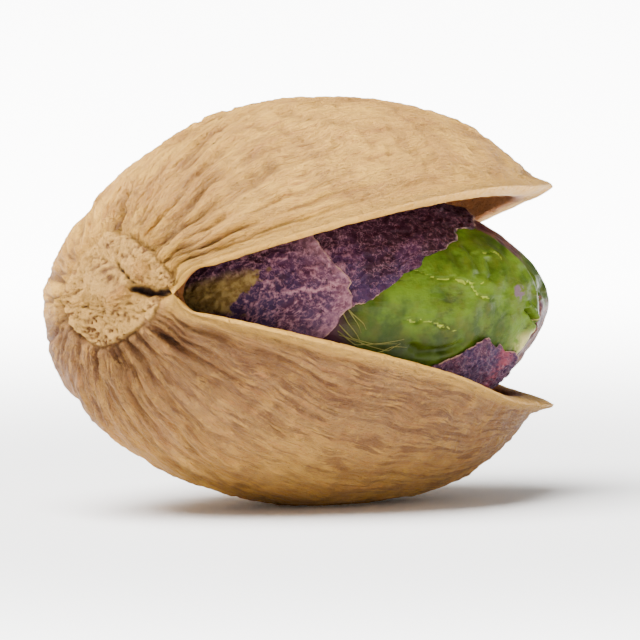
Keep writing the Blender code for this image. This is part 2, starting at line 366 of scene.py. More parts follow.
def shellSurface(mesh):
    points, normals = readMesh(mesh)
    direction = readValue(mesh, "direction", True)
    height, swing = readValue(mesh, "heightUp"), readValue(mesh, "swing")
    depthIn, side = readValue(mesh, "depthIn"), readValue(mesh, "side")
    outer = (depthIn == 0).astype(float)
    around, along = flowAt(direction)
    around = around + 0.05 * noiseAt(points, 2.2, 1, 2)

    # distance from the torn edge, for the smooth band beside it
    behind = np.clip(-swing, 0, None) / tan(radians(shell["valvePitch"]))
    fromEdge = np.hypot(height, behind * 0.8)
    bandFade = smooth(fromEdge, 0.3, 0.95)

    offScar = scarOffset(direction)
    offScar = offScar * (1 + 0.05 * noiseAt(direction, 0.12, 2, 3))
    scar = smooth(-offScar, -1.02, -0.95) * outer
    outside = smooth(offScar, 0.99, 1.1)
    near = np.exp(-np.clip(offScar - 1.35, 0, None) * np.where(side > 0, 0.62, 0.5))
    strength = (0.9 * near + 0.12) * outside * (0.25 + 0.75 * bandFade)

    h = surface["lumps"] * noiseAt(points, 4.6, 4, 2) + 0.05 * noiseAt(points, 1.5, 5, 2) * bandFade
    wide = noiseAt(flowPoints(around, along, 7.5, 1.1), 1.0, 6, 2)
    narrow = noiseAt(flowPoints(around, along, 17, 2.0), 1.0, 7, 2)
    breaks = smooth(noiseAt(points, 1.8, 8, 2), -0.3, 0.35)
    furrow = smooth(-wide, 0.05, 0.4) * (0.35 + 0.65 * breaks)
    fineFurrow = smooth(-narrow, 0.1, 0.45) * (1 - 0.4 * breaks)
    # calmer on the far side and left of the scar
    calm = (1 - 0.55 * smooth(-direction[:, 0], 0.86, 0.97)) * (0.5 + 0.5 * smooth(-direction[:, 1], -0.3, 0.2))
    h += strength * calm * (surface["furrows"] * wide - 0.1 * furrow)
    h += strength * calm * (surface["crinkles"] * narrow - 0.06 * fineFurrow)
    crinkle = noiseAt(flowPoints(around, along, 15, 6), 1.0, 18, 2)
    h += 0.05 * crinkle * (0.5 + near) * outside * bandFade
    # dimples towards the tip
    pits = smooth(noiseAt(points, 0.75, 9, 2), 0.1, 0.5) * smooth(offScar, 1.8, 3.2) * bandFade
    h -= surface["dimples"] * pits * np.where(side > 0, 1, 0.35)
    h += 0.035 * noiseAt(points, 0.32, 19, 2) * outside * (0.3 + 0.7 * bandFade)
    h += surface["lip"] * (bell(fromEdge, 0.2, 0.3) - 0.7 * bell(fromEdge, 0.85, 0.3)) * outside

    # the scar
    warped = points + 0.16 * noise3(points, 0.5, 20)
    coral = ridges(warped, 0.3, 10)
    grain = ridges(warped, 0.17, 11)
    coreOff = np.degrees(np.arccos(np.clip(direction @ unit(surface["core"]), -1, 1))) / surface["coreRadius"]
    core = smooth(-coreOff, -1.25, -0.6)
    swirl = noiseAt(np.stack([coreOff * 3.0, points[:, 1] * 0.8, points[:, 2] * 0.8], -1), 1.0, 12, 3)
    rough = np.clip(coral, -0.2, 1) + 0.5 * np.clip(grain, -0.6, 1)
    rough = rough * (1 - 0.85 * core) + 1.1 * swirl * core
    plates = noiseAt(points, 1.1, 21, 2)
    h += scar * (surface["scarGrain"] * rough + 0.2 * plates - surface["scarSink"] * smooth(-offScar, -1, -0.8))
    groove = bell(offScar, 1.01, 0.035) * (0.3 + 0.7 * smooth(noiseAt(direction, 0.2, 13, 2), -0.3, 0.3)) * outer
    h -= 0.24 * groove
    h += 0.07 * bell(offScar, 1.1, 0.08) * outer

    nub = np.zeros(len(points))
    for at, radius, rise in surface["nubs"]:
        dome = np.exp(-((np.linalg.norm(points - onShell(at), axis=1) / radius) ** 2)) * outer
        h += rise * dome
        nub = np.maximum(nub, dome)
    # the cracks are cut into the surface, and this mask marks them for painted shade
    crackShade = np.zeros(len(points))
    wander = points + 0.12 * noise3(points, 0.35, 14)
    for line, width, depth in surface["cracks"]:
        distance, share = lineDistance(wander, [onShell(at) for at in line])
        cut = bell(distance, 0, width * (1 - 0.6 * np.abs(2 * share - 1) ** 3))
        h -= depth * cut
        crackShade = np.maximum(crackShade, cut)

    inner = 0.05 * noiseAt(points, 2.0, 15, 2) * (depthIn == 1)
    chips = noiseAt(points, 0.5, 16, 2) * (depthIn > 0) * (depthIn < 1) * smooth(swing, 0, 0.3)
    moved = points + normals * (h * outer + inner + 0.03 * chips)[:, None]
    values = {
        "flow": flowPoints(around, along, 7.0, 1.5),
        # painted shade: furrows, dimples and the groove round the scar are marked here to be darkened
        "hollowShade": np.clip((furrow + 0.7 * fineFurrow) * strength + 0.3 * pits + 0.7 * groove, 0, 1) * outer,
        "crackShade": np.clip(crackShade, 0, 1) * outer,
        "scar": scar,
        "scarTone": np.clip(0.5 + 0.45 * rough, 0, 1),
        "band": (1 - smooth(fromEdge, 0.3, 0.8)) * outside,
        "clear": bandFade * outside,
        "nub": nub,
        # the lower valve, less so at its very bottom: its darker colour there is partly its own and partly painted
        # shade
        "underside": smooth(-side * height, -0.6, 1.2) * (1 - 0.6 * smooth(-side * height, 2.6, 6.2)),
        "nearScar": near,
    }
    return moved, values


def noise3(points, size, seed):
    return np.stack([noiseAt(points, size, seed + k * 0.37, 2) for k in range(3)], -1)


def layDown(points):
    return points @ lieTurn.T


shellData = shellMesh()
shellBase, _ = readMesh(shellData)
laid = layDown(shellBase)
boxLow, boxHigh = (np.array(c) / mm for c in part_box("shell"))
middle = (laid.min(0) + laid.max(0)) / 2 - (boxLow + boxHigh) / 2
middle[2] = laid[:, 2].min() + shell["flatDepth"]


def place(points):
    # from the nut's own frame to the table
    return layDown(points) - middle


shellMoved, shellValues = shellSurface(shellData)
shellPlaced = place(shellMoved)
flatSpot = shellPlaced[:, 2] < 0.02
shellPlaced[:, 2] = np.maximum(shellPlaced[:, 2], 0)
writeMesh(shellData, shellPlaced, shellValues)
print("shell built:", len(shellData.polygons), "faces")


# ---- kernel: shape

kernel = {
    "place": (11.9, -0.4, -0.5),  # in the nut's frame
    "yaw": -9,
    "stemLength": 7.4,
    "tipLength": 9.3,
    "halfWidth": 4.5,
    "top": 4.7,
    "belly": 4.9,
    "tipPower": 1.2,
    "seamAt": -0.42,
    "seamDepth": 0.42,
    "rows": 250,
    "columns": 320,
    # thin splits in the seed: points as (share of the length, degrees up from the gape), half width, depth
    "splits": [
        ([(0.562, 16), (0.583, 14), (0.608, 10), (0.637, 10), (0.667, 8), (0.683, 1), (0.725, -1)], 0.045, 0.1),
        ([(0.64, 10), (0.675, 9), (0.704, 9)], 0.035, 0.07),
        ([(0.55, -10), (0.571, -11), (0.596, -11), (0.613, -14), (0.629, -16), (0.654, -18)], 0.05, 0.12),
        ([(0.696, 31), (0.713, 32), (0.729, 34), (0.738, 31), (0.742, 24)], 0.045, 0.08),
    ],
    # deeper creases, the same way
    "creases": [
        ([(0.65, 28), (0.65, 20), (0.655, 13)], 0.24, 0.1),
        ([(0.683, 30), (0.685, 20), (0.69, 13)], 0.24, 0.12),
        ([(0.712, 29), (0.712, 19), (0.705, 11)], 0.28, 0.16),
        ([(0.668, 36), (0.675, 32), (0.67, 28)], 0.2, 0.1),
        ([(0.787, -7), (0.8, -11), (0.825, -22), (0.846, -50)], 0.1, 0.4),
        ([(0.56, -22), (0.58, -26), (0.63, -27), (0.66, -23)], 0.14, 0.16),
    ],
    "speck": (0.775, 6),
}


def kernelPoints(along, turn, lift=0):
    # along is 0 at the stem end and 1 at the tip; turn is 0 at the gape and a quarter turn on top
    polar = pi * along
    d = np.stack([-np.cos(polar), -np.sin(polar) * np.cos(turn), np.sin(polar) * np.sin(turn)], -1)
    tipward = d[..., 0] > 0
    length = np.where(tipward, kernel["tipLength"], kernel["stemLength"])
    power = np.where(tipward, kernel["tipPower"], 1)
    depth = np.where(d[..., 2] > 0, kernel["top"], kernel["belly"])
    swell = np.hypot(d[..., 1], d[..., 2]) ** (power - 1)
    across, deep = d[..., 1] * swell * kernel["halfWidth"], d[..., 2] * swell * depth
    points = np.stack([d[..., 0] * length, across, deep], -1)
    slope = np.stack([power * swell * d[..., 0] / length, d[..., 1] / kernel["halfWidth"], d[..., 2] / depth], -1)
    return points + np.asarray(lift)[..., None] * unit(slope), d


def placeKernel(points):
    yaw = radians(kernel["yaw"])
    turned = np.stack(
        [
            points[:, 0] * cos(yaw) - points[:, 1] * sin(yaw),
            points[:, 0] * sin(yaw) + points[:, 1] * cos(yaw),
            points[:, 2],
        ],
        -1,
    )
    return place(turned + kernel["place"])


def kernelShape(along, turn):
    # how far the seed's real surface is off the smooth one, and what is needed to colour it
    smoothPoints, d = kernelPoints(along, turn)
    seamWave = 0.03 * noiseAt(smoothPoints, 1.6, 21, 2)
    offSeam = (d[:, 1] - kernel["seamAt"] - seamWave) * kernel["halfWidth"]
    nearHalf = smooth(-offSeam, -0.05, 0.05)
    tipFade = smooth(d[:, 0], -0.6, 0.2)
    lumps = 0.16 * noiseAt(smoothPoints, 2.9, 22, 2) + 0.05 * noiseAt(smoothPoints, 1.0, 23, 2)
    folds = noiseAt(smoothPoints * (1.0, 0.35, 0.35), 0.75, 24, 2) * smooth(along, 0.58, 0.7)
    ridges = noiseAt(smoothPoints * (0.3, 1, 1), 0.55, 25, 3)
    h = lumps + 0.06 * folds + 0.025 * ridges
    h -= kernel["seamDepth"] * np.exp(-np.abs(offSeam) / 0.13) * (0.35 + 0.65 * tipFade)
    h += 0.1 * bell(offSeam, -0.32, 0.22) * tipFade
    h -= 0.12 * bell(offSeam, 0.5, 0.4) * tipFade
    split, crease = np.zeros(len(h)), np.zeros(len(h))
    wander = smoothPoints + 0.09 * noise3(smoothPoints, 0.3, 26)
    for line, width, depth in kernel["splits"] + kernel["creases"]:
        knots = np.array(line)
        path, _ = kernelPoints(knots[:, 0], np.radians(knots[:, 1]))
        distance, share = lineDistance(wander, path)
        ends = smooth(1 - np.abs(2 * share - 1), 0, 0.3)
        cut = bell(distance, 0, width) * ends
        h -= depth * cut
        h += 0.3 * depth * bell(distance, width * 2.2, width * 1.2) * ends
        if width < 0.06:
            split = np.maximum(split, bell(distance, width * 0.7, width * 0.8) * ends)
        else:
            crease = np.maximum(crease, cut)
    seam = bell(offSeam, 0, 0.11) * (0.4 + 0.6 * tipFade)
    return h, smoothPoints, {
        "seam": seam,
        "seamEdge": bell(offSeam, -0.2, 0.06) * tipFade,
        "nearHalf": nearHalf,
        "split": split,
        "crease": crease,
    }


def kernelMesh():
    rows, columns = kernel["rows"] + 1, kernel["columns"]
    along, turn = np.meshgrid(np.linspace(0, 1, rows), np.linspace(0, turnEnd, columns, endpoint=False), indexing="ij")
    along, turn = along.ravel(), turn.ravel()
    h, _, values = kernelShape(along, turn)
    points, _ = kernelPoints(along, turn, h * smooth(np.sin(pi * along), 0, 0.08))
    index = np.arange(rows * columns).reshape(rows, columns)
    looped = np.concatenate([index, index[:, :1]], 1)
    corners = (looped[:-1, :-1], looped[:-1, 1:], looped[1:, 1:], looped[1:, :-1])
    quads = np.stack(corners, -1).reshape(-1, 4)
    values["along"] = along
    values["up"] = np.sin(turn)
    speckPlace, _ = kernelPoints(*(np.array([v]) for v in (kernel["speck"][0], radians(kernel["speck"][1]))))
    values["spot"] = bell(np.linalg.norm(points - speckPlace, axis=1), 0, 0.32)
    values["local"] = points
    return newMesh("kernel", placeKernel(points), quads, values)


kernelData = kernelMesh()
print("kernel built:", len(kernelData.polygons), "faces")


# ---- skin: torn pieces

skins = {
    # edges as listed points (share across the piece, place): along runs to the tip, turn is degrees over the gape
    "skin_stem": {
        "stemEdge": [(0, 0.1), (1, 0.1)],
        "tipEdge": [
            (0, 0.35), (0.24, 0.405), (0.29, 0.429), (0.35, 0.448), (0.375, 0.458), (0.39, 0.471), (0.43, 0.473),
            (0.458, 0.467), (0.48, 0.475), (0.5, 0.471), (0.535, 0.454), (0.58, 0.438), (0.65, 0.425), (1, 0.4),
        ],
        "lowEdge": [(0, -50), (1, -50)],
        "highEdge": [(0, 70), (1, 70)],
        "fray": 0.003,
        "curl": 0.2,
        "seed": 31,
    },
    "skin_top": {
        "stemEdge": [(0, 0.445), (0.15, 0.44), (0.3, 0.42), (0.45, 0.41), (1, 0.4)],
        "tipEdge": [
            (0, 0.571), (0.022, 0.579), (0.06, 0.594), (0.08, 0.629), (0.13, 0.642), (0.163, 0.654),
            (0.26, 0.658), (0.304, 0.692), (0.533, 0.713), (0.63, 0.708), (1, 0.68),
        ],
        "lowEdge": [
            (0, -6), (0.2, -4), (0.4, -2), (0.546, 1), (0.613, 4), (0.756, 7), (0.78, 13), (0.89, 16), (1, 20),
        ],
        "highEdge": [(0, 110), (1, 112)],
        "fray": 0.004,
        "curl": 0.05,
        "seed": 37,
    },
    "skin_low": {
        "stemEdge": [(0, 0.54), (1, 0.58)],
        "tipEdge": [(0, 0.755), (0.35, 0.775), (0.7, 0.78), (1, 0.762)],
        "lowEdge": [(0, -62), (0.4, -75), (1, -84)],
        "highEdge": [
            (0, -36), (0.15, -33), (0.3, -31), (0.45, -28), (0.55, -25), (0.66, -23), (0.69, -26), (0.76, -31),
            (0.8, -29), (0.88, -36), (1, -39),
        ],
        "fray": 0.003,
        "curl": 0.04,
        "seed": 41,
    },
    "skin_back": {
        "stemEdge": [(0, 0.2), (1, 0.22)],
        "tipEdge": [(0, 0.85), (0.5, 0.86), (1, 0.84)],
        "lowEdge": [(0, 132), (1, 130)],
        "highEdge": [(0, 234), (1, 232)],
        "fray": 0.006,
        "curl": 0.06,
        "seed": 43,
    },
}
skinSheet = {"gap": 0.04, "thick": 0.09, "steps": 140, "wrinkle": 0.04}
# loose fibres by the stem piece: points as (share of the length, degrees up from the gape), and lift in mm
fibres = [
    ([(0.46, -1), (0.475, -9), (0.492, -16)], 0.25),
    ([(0.455, -5), (0.47, -12), (0.485, -19), (0.5, -21)], 0.2),
    ([(0.462, -3), (0.485, -10), (0.5, -14)], 0.3),
    ([(0.45, -11), (0.475, -17), (0.51, -20), (0.545, -21)], 0.15),
    ([(0.448, -14), (0.48, -21), (0.52, -20), (0.555, -19)], 0.12),
    ([(0.45, -16), (0.49, -19), (0.53, -24), (0.55, -21)], 0.1),
    ([(0.455, -20), (0.5, -25), (0.535, -22), (0.56, -23)], 0.12),
]
fibreShape = {"radius": 0.025, "sides": 5, "steps": 26}


def edgeAt(share, knots):
    places = np.array(knots, float)
    return np.interp(share, places[:, 0], places[:, 1])


def fibreTubes():
    # each fibre as a thin bent tube, its points in the kernel's frame
    points, faces = [], []
    rng = np.random.default_rng(5)
    for line, lift in fibres:
        knots = np.array(line, float)
        share = np.linspace(0, 1, fibreShape["steps"])
        places = np.linspace(0, 1, len(knots))
        along, turn = np.interp(share, places, knots[:, 0]), np.interp(share, places, knots[:, 1])
        sway = 0.05 * np.stack([np.sin(share * rng.uniform(3, 9) + k) for k in rng.uniform(0, 6, 3)], -1)
        path, _ = kernelPoints(along, np.radians(turn), 0.06 + lift * np.sin(pi * share))
        path = path + sway * np.sin(pi * share)[:, None]
        ahead = unit(np.gradient(path, axis=0))
        one = unit(np.cross(ahead, (0.3, 0.2, 1.0)))
        two = np.cross(ahead, one)
        spokes = np.linspace(0, turnEnd, fibreShape["sides"], endpoint=False)
        radius = fibreShape["radius"] * (1.1 - 0.8 * share)
        ring = np.cos(spokes)[None, :, None] * one[:, None] + np.sin(spokes)[None, :, None] * two[:, None]
        tube = path[:, None] + ring * radius[:, None, None]
        start = sum(len(p) for p in points)
        points.append(tube.reshape(-1, 3))
        index = start + np.arange(len(share) * len(spokes)).reshape(len(share), len(spokes))
        looped = np.concatenate([index, index[:, :1]], 1)
        corners = (looped[:-1, :-1], looped[:-1, 1:], looped[1:, 1:], looped[1:, :-1])
        faces += np.stack(corners, -1).reshape(-1, 4).tolist()
        faces += [index[0, ::-1].tolist(), index[-1].tolist()]
    return np.concatenate(points), faces


def skinMesh(name):
    s = skins[name]
    steps = skinSheet["steps"] + 1
    u, v = np.meshgrid(np.linspace(0, 1, steps), np.linspace(0, 1, steps), indexing="ij")
    u, v = u.ravel(), v.ravel()

    def fray(place, seed):
        return noiseAt(np.stack([place * 14, 0 * place + seed * 3.1, 0 * place], -1), 1.0, s["seed"], 4)

    stem = edgeAt(v, s["stemEdge"]) + s["fray"] * fray(v, 3)
    tip = edgeAt(v, s["tipEdge"]) + s["fray"] * 1.6 * fray(v, 4)
    low = edgeAt(u, s["lowEdge"]) + s["fray"] * 240 * fray(u, 1)
    high = edgeAt(u, s["highEdge"]) + s["fray"] * 240 * fray(u, 2)
    along = stem + (tip - stem) * u
    turn = np.radians(low + (high - low) * v)
    h, smoothPoints, _ = kernelShape(along, turn)
    length, width = (tip - stem) * 18, (high - low) * 0.08
    spans = np.stack([u * length, (1 - u) * length, v * width, (1 - v) * width], -1)
    fromEdge = spans.min(1)  # about mm
    raised = 0.45 + 0.75 * np.clip(noiseAt(smoothPoints, 0.8, s["seed"] + 1, 2) + 0.3, 0, 1)
    curl = s["curl"] * np.exp(-spans[:, 1] / 0.35) * raised + 0.03 * np.exp(-fromEdge / 0.2)
    warped = smoothPoints * (0.75, 1, 1) + 0.14 * noise3(smoothPoints, 0.45, s["seed"] + 4)
    net = ridges(warped, 0.34, s["seed"] + 2, 3)
    creases = ridges(smoothPoints * (0.3, 1, 1), 0.8, s["seed"] + 3)
    wrinkle = skinSheet["wrinkle"] * (np.clip(net, -0.6, 1) + 0.7 * np.clip(creases, 0, 1))
    base = np.maximum(h, -0.08) + skinSheet["gap"] + curl + 0.03 + wrinkle
    thick = skinSheet["thick"] * (0.35 + 0.65 * smooth(fromEdge, 0, 0.12))
    top, _ = kernelPoints(along, turn, base + thick)
    under, _ = kernelPoints(along, turn, base)
    count = steps * steps
    index = np.arange(count).reshape(steps, steps)
    faces = gridFaces(steps, steps)
    border = np.concatenate([index[0, :-1], index[:-1, -1], index[-1, :0:-1], index[:0:-1, 0]])
    following = np.roll(border, -1)
    wall = np.stack([border, following, following + count, border + count], -1)
    allPoints = np.concatenate([top, under])
    allFaces = np.concatenate([faces, faces[:, ::-1] + count, wall]).tolist()
    values = {
        "edge": np.tile(np.exp(-fromEdge / 0.07), 2),
        "tipEdge": np.tile(np.exp(-spans[:, 1] / 0.45), 2),
        "crease": np.tile(np.clip(creases, 0, 1), 2),
        "net": np.tile(np.clip(net, 0, 1), 2),
        "along": np.tile(along, 2),
        "turn": np.tile(turn, 2),
        "local": np.tile(smoothPoints, (2, 1)),
        "fibre": np.zeros(2 * count),
    }
    if name == "skin_stem":
        tubes, tubeFaces = fibreTubes()
        allFaces += [[i + len(allPoints) for i in face] for face in tubeFaces]
        allPoints = np.concatenate([allPoints, tubes])
        for key, value in values.items():
            extra = tubes if key == "local" else np.full(len(tubes), 1.0 if key == "fibre" else 0.0)
            values[key] = np.concatenate([value, extra])
    return newMesh(name, placeKernel(allPoints), allFaces, values)


skinData = {name: skinMesh(name) for name in skins}
print("skins built")


# ---- materials


def addNode(tree, kind, inputs=None, **settings):
    made = tree.nodes.new("ShaderNode" + kind)
    for key, value in settings.items():
        setattr(made, key, value)
    for key, value in (inputs or {}).items():
        if isinstance(value, bpy.types.NodeSocket):
            tree.links.new(value, made.inputs[key])
        else:
            made.inputs[key].default_value = value
    return made


def valueOf(tree, name):
    return addNode(tree, "Attribute", attribute_name=name).outputs["Fac"]


def vectorOf(tree, name, stretch=(1, 1, 1)):
    found = addNode(tree, "Attribute", attribute_name=name).outputs["Vector"]
    return addNode(tree, "VectorMath", {0: found, 1: stretch}, operation="MULTIPLY").outputs[0]


def noiseOf(tree, vector, scale, detail=4, roughness=0.55):
    inputs = {"Vector": vector, "Scale": scale, "Detail": detail, "Roughness": roughness}
    return addNode(tree, "TexNoise", inputs).outputs[0]


def rampOf(tree, value, low, high, start=0.0, end=1.0):
    inputs = {0: value, 1: low, 2: high, 3: start, 4: end}
    return addNode(tree, "MapRange", inputs, interpolation_type="SMOOTHSTEP").outputs[0]


def mathOf(tree, operation, a, b=0.0):
    return addNode(tree, "Math", {0: a, 1: b}, operation=operation).outputs[0]


def mixOf(tree, factor, a, b, blend="MIX"):
    tint = lambda c: c if isinstance(c, bpy.types.NodeSocket) else (*c, 1)
    inputs = {0: factor, 6: tint(a), 7: tint(b)}
    return addNode(tree, "Mix", inputs, data_type="RGBA", blend_type=blend).outputs[2]


def newMaterial(name):
    material = bpy.data.materials.new(name)
    material.use_nodes = True
    tree = material.node_tree
    return material, tree, tree.nodes["Principled BSDF"]


def setBump(tree, shader, heights):
    # heights are (value, strength, distance in mm), finest last
    normal = None
    for value, strength, distance in heights:
        inputs = {"Height": value, "Strength": strength, "Distance": distance * mm}
        if normal:
            inputs["Normal"] = normal
        normal = addNode(tree, "Bump", inputs).outputs[0]
    tree.links.new(normal, shader.inputs["Normal"])


def shellMaterial():
    colors = {
        "tan": (0.5, 0.25, 0.044),
        "pale": (0.67, 0.36, 0.056),
        # darker colour of the underside: partly its own, partly painted shade
        "under": (0.245, 0.115, 0.03),
        "brown": (0.11, 0.036, 0.008),
        "rust": (0.32, 0.115, 0.025),
        "crackShade": (0.04, 0.013, 0.004),
        "band": (0.5, 0.26, 0.034),
        "scar": (0.68, 0.37, 0.085),
        "scarDark": (0.17, 0.06, 0.014),
        "inside": (0.3, 0.1, 0.02),
        "amber": (0.62, 0.29, 0.05),
    }
    material, tree, shader = newMaterial("shell")
    place = addNode(tree, "TexCoord").outputs["Object"]
    streaks = noiseOf(tree, vectorOf(tree, "flow", (2.4, 2.4, 2.2)), 1.0, 5, 0.6)
    fineStreaks = noiseOf(tree, vectorOf(tree, "flow", (6, 6, 7)), 1.0, 4, 0.65)
    patches = noiseOf(tree, place, 420, 3)
    mottle = noiseOf(tree, place, 1300, 4, 0.6)
    specks = noiseOf(tree, place, 4200, 3, 0.65)
    under = valueOf(tree, "underside")
    color = mixOf(tree, rampOf(tree, patches, 0.36, 0.64), colors["tan"], colors["pale"])
    color = mixOf(tree, rampOf(tree, mottle, 0.56, 0.72, 0, 0.4), color, colors["pale"])
    # the underside is painted darker: partly the lower valve's own darker colour, partly painted shade
    underToneAndShade = mixOf(tree, rampOf(tree, mottle, 0.45, 0.7, 0, 0.6), colors["under"], colors["tan"])
    color = mixOf(tree, under, color, underToneAndShade)
    color = mixOf(tree, rampOf(tree, streaks, 0.5, 0.7, 0, 0.45), color, colors["rust"])
    color = mixOf(tree, rampOf(tree, fineStreaks, 0.52, 0.66, 0, 0.45), color, colors["rust"])
    dashes = noiseOf(tree, vectorOf(tree, "flow", (3.6, 3.6, 3.0)), 1.0, 4, 0.6)
    dash = mathOf(tree, "MULTIPLY", rampOf(tree, dashes, 0.49, 0.57), valueOf(tree, "clear"))
    dash = mathOf(tree, "MULTIPLY", dash, rampOf(tree, under, 0, 1, 0.16, 0.85))
    dash = mathOf(tree, "MULTIPLY", dash, rampOf(tree, mottle, 0.38, 0.6, 0.4, 1.0))
    color = mixOf(tree, dash, color, colors["brown"])
    color = mixOf(tree, rampOf(tree, specks, 0.58, 0.74, 0, 0.3), color, colors["pale"])
    color = mixOf(tree, mathOf(tree, "MULTIPLY", valueOf(tree, "band"), 0.7), color, colors["band"])
    # painted shade: furrows, dimples and the groove round the scar are darkened to brown
    color = mixOf(tree, mathOf(tree, "MULTIPLY", valueOf(tree, "hollowShade"), 0.85), color, colors["brown"])
    tone = mathOf(tree, "ADD", valueOf(tree, "scarTone"), rampOf(tree, mottle, 0.3, 0.7, -0.2, 0.2))
    scarTone = mixOf(tree, rampOf(tree, tone, 0.22, 0.72), colors["scarDark"], colors["scar"])
    color = mixOf(tree, mathOf(tree, "MULTIPLY", valueOf(tree, "scar"), 0.92), color, scarTone)
    color = mixOf(tree, mathOf(tree, "MULTIPLY", valueOf(tree, "nub"), 0.75), color, colors["amber"])
    # painted shade: the cracks in the scar are darkened almost to black
    color = mixOf(tree, rampOf(tree, valueOf(tree, "crackShade"), 0.3, 0.95), color, colors["crackShade"])
    color = mixOf(tree, rampOf(tree, valueOf(tree, "depthIn"), 0.55, 1.0), color, colors["inside"])
    tree.links.new(color, shader.inputs["Base Color"])
    tree.links.new(rampOf(tree, patches, 0.3, 0.7, 0.5, 0.68), shader.inputs["Roughness"])
    shader.inputs["Specular IOR Level"].default_value = 0.35
    grain = noiseOf(tree, vectorOf(tree, "flow", (12, 12, 8)), 1.0, 5, 0.65)
    crumbs = noiseOf(tree, place, 6500, 4, 0.7)
    crumbs = mathOf(tree, "MULTIPLY", crumbs, valueOf(tree, "scar"))
    setBump(tree, shader, [
        (dashes, 0.9, 0.3), (mottle, 0.9, 0.32), (grain, 0.9, 0.24), (specks, 0.8, 0.12), (crumbs, 0.9, 0.18),
    ])
    return material


def kernelMaterial():
    colors = {
        "green": (0.022, 0.04, 0.0008),
        "bright": (0.07, 0.115, 0.006),
        "olive": (0.06, 0.06, 0.003),
        "moss": (0.012, 0.016, 0.0005),
        "split": (0.26, 0.3, 0.03),
        "seam": (0.02, 0.012, 0.006),
        "skin": (0.04, 0.01, 0.017),
        "husk": (0.12, 0.048, 0.034),
        "speck": (0.1, 0.06, 0.07),
        "cream": (0.42, 0.36, 0.13),
    }
    material, tree, shader = newMaterial("kernel")
    place = vectorOf(tree, "local")
    clouds = noiseOf(tree, place, 0.55, 4, 0.6)
    mottle = noiseOf(tree, place, 1.7, 4, 0.6)
    veins = noiseOf(tree, vectorOf(tree, "local", (0.6, 1.5, 1.5)), 1.6, 5, 0.65)
    along, up, near = valueOf(tree, "along"), valueOf(tree, "up"), valueOf(tree, "nearHalf")
    color = mixOf(tree, rampOf(tree, clouds, 0.4, 0.62), colors["green"], colors["bright"])
    color = mixOf(tree, rampOf(tree, mottle, 0.42, 0.7, 0, 0.6), color, colors["olive"])
    color = mixOf(tree, rampOf(tree, veins, 0.28, 0.46, 0.75, 0.0), color, colors["moss"])
    # painted shade: the lower side towards the stem end is darkened to moss green
    low = mathOf(tree, "MULTIPLY", rampOf(tree, up, -0.2, -0.42), rampOf(tree, along, 0.72, 0.56))
    color = mixOf(tree, mathOf(tree, "MULTIPLY", low, 0.7), color, colors["moss"])
    cream = mathOf(tree, "MULTIPLY", rampOf(tree, along, 0.75, 0.79), rampOf(tree, up, -0.4, -0.62))
    color = mixOf(tree, mathOf(tree, "MULTIPLY", cream, rampOf(tree, mottle, 0.35, 0.55)), color, colors["cream"])
    color = mixOf(tree, rampOf(tree, along, 0.5, 0.44), color, colors["skin"])
    edge = mathOf(tree, "ADD", up, rampOf(tree, mottle, 0.3, 0.7, -0.3, 0.3))
    farSkin = mathOf(tree, "SUBTRACT", 1.0, near)
    green = mathOf(tree, "MULTIPLY", rampOf(tree, edge, -0.05, 0.08), rampOf(tree, along, 0.8, 0.84))
    farSkin = mathOf(tree, "MULTIPLY", farSkin, mathOf(tree, "SUBTRACT", 1.0, green))
    huskNet = noiseOf(tree, place, 3.2, 5, 0.7)
    husk = mixOf(tree, rampOf(tree, huskNet, 0.42, 0.6), colors["skin"], colors["husk"])
    color = mixOf(tree, farSkin, color, husk)
    spot = mathOf(tree, "MULTIPLY", valueOf(tree, "spot"), rampOf(tree, noiseOf(tree, place, 3.5, 3), 0.35, 0.6))
    color = mixOf(tree, rampOf(tree, spot, 0.2, 0.5), color, colors["speck"])
    color = mixOf(tree, mathOf(tree, "MULTIPLY", valueOf(tree, "crease"), 0.4), color, colors["moss"])
    color = mixOf(tree, rampOf(tree, valueOf(tree, "seamEdge"), 0.4, 0.9, 0, 0.6), color, colors["cream"])
    ragged = mathOf(tree, "MULTIPLY", valueOf(tree, "split"), rampOf(tree, noiseOf(tree, place, 4, 3), 0.3, 0.46))
    color = mixOf(tree, rampOf(tree, ragged, 0.5, 0.95), color, colors["split"])
    color = mixOf(tree, rampOf(tree, valueOf(tree, "seam"), 0.3, 0.75), color, colors["seam"])
    tree.links.new(color, shader.inputs["Base Color"])
    tree.links.new(rampOf(tree, clouds, 0.3, 0.7, 0.3, 0.46), shader.inputs["Roughness"])
    shader.inputs["Specular IOR Level"].default_value = 0.1
    fine = noiseOf(tree, place, 7, 4)
    setBump(tree, shader, [(mottle, 0.4, 0.14), (veins, 0.45, 0.12), (fine, 0.3, 0.03)])
    return material


